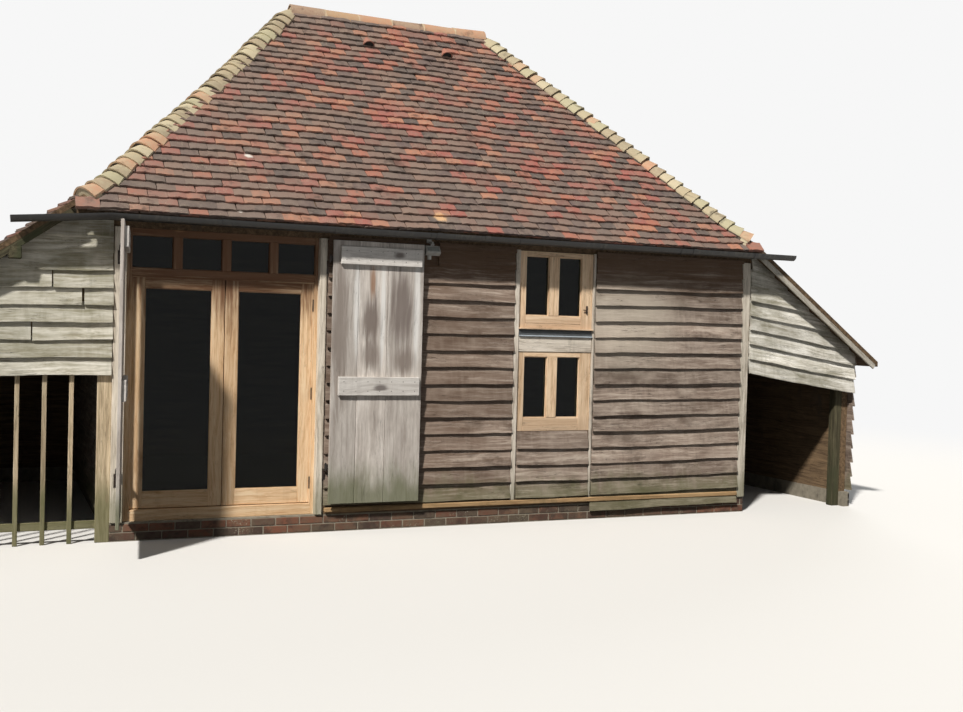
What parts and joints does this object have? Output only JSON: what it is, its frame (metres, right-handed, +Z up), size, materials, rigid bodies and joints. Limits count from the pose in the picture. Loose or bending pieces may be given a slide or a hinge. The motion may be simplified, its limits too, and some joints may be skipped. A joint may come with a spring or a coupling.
{
  "type": "potting shed",
  "caption": "Timber potting shed with a hipped clay-tiled roof, glazed double doors behind boarded outer leaves, oak windows and a lean-to store under each hip.",
  "frame": {"origin": "on the ground, midway under the ridge", "axes": "+Z up, +X along the front to the right, +Y from the front to the back"},
  "size_m": [10.44, 5.4762, 5.436],
  "materials": {
    "tile": "matt handmade clay",
    "hip_tile": "matt clay with lichen",
    "ridge_tile": "matt clay",
    "timber": "sawn",
    "fascia": "dark stain",
    "brick": "dark brick",
    "floor_slab": "tamped",
    "weatherboard": "weathered",
    "post_oak": "weathered oak",
    "drip_wood": "new wood",
    "pale_board": "bleached",
    "slat_wood": "weathered",
    "oak": "oiled",
    "glass": "clear",
    "hinge_iron": "dull",
    "silver_board": "silvered",
    "black_iron": "black",
    "trim_wood": "silvered",
    "lead": "dull lead",
    "gutter": "black",
    "lamp_metal": "grey"
  },
  "bodies": {
    "shed": {"roof_front": "tile", "roof_back": "tile", "roof_hip_left": "tile", "roof_hip_right": "tile", "leanto_roof_left": "tile", "leanto_roof_right": "tile", "hip_tiles": "hip_tile", "ridge_tiles": "ridge_tile", "roof_frame": "timber", "wall_plates": "timber", "fascia_boards": "fascia", "plinth": "brick", "floor": "floor_slab", "front_wall_by_door": "weatherboard", "front_wall_at_windows": "weatherboard", "front_wall_right": "weatherboard", "back_wall": "weatherboard", "end_walls": "weatherboard", "wall_posts": "post_oak", "drip_board": "drip_wood", "leanto_front_left": "pale_board", "leanto_front_right": "pale_board", "leanto_side_walls": "weatherboard", "leanto_timbers": "timber", "store_slats": "slat_wood", "door_frame": "oak", "transom_glass": "glass", "glazed_leaf_pins": "hinge_iron", "outer_pintles": "black_iron", "window_frames": "oak", "window_glass": "glass", "window_trim": "trim_wood", "window_flashing": "lead", "gutter_front": "gutter", "gutter_back": "gutter", "gutter_brackets": "gutter", "lamp_bracket": "lamp_metal"},
    "glazed_leaf_left": {"glazed_leaf_left": "oak", "glazed_glass_left": "glass"},
    "glazed_leaf_right": {"glazed_leaf_right": "oak", "glazed_glass_right": "glass"},
    "outer_leaf_left": {"outer_leaf_left": "silver_board", "outer_straps_left": "black_iron"},
    "outer_leaf_right": {"outer_leaf_right": "silver_board", "outer_straps_right": "black_iron"},
    "lamp_head": {"lamp_head": "lamp_metal"}
  },
  "joints": [
    {"name": "glazed_left_hinge", "type": "hinge", "parent": "shed", "child": "glazed_leaf_left", "pos_m": [-2.9825, -1.9525, 1.3], "axis": [0, 0, 1], "range_deg": [0, 90]},
    {"name": "glazed_right_hinge", "type": "hinge", "parent": "shed", "child": "glazed_leaf_right", "pos_m": [-1.3475, -1.9525, 1.3], "axis": [0, 0, -1], "range_deg": [0, 90]},
    {"name": "outer_left_pintles", "type": "hinge", "parent": "shed", "child": "outer_leaf_left", "pos_m": [-3.091, -2.155, 1.585], "axis": [0, 0, -1], "range_deg": [-97, 28]},
    {"name": "outer_right_pintles", "type": "hinge", "parent": "shed", "child": "outer_leaf_right", "pos_m": [-1.239, -2.155, 1.585], "axis": [0, 0, 1], "range_deg": [-180, 0]},
    {"name": "lamp_tilt", "type": "hinge", "parent": "shed", "child": "lamp_head", "pos_m": [-0.2425, -2.175, 2.728], "axis": [1, 0, 0], "range_deg": [-20, 30]}
  ]
}
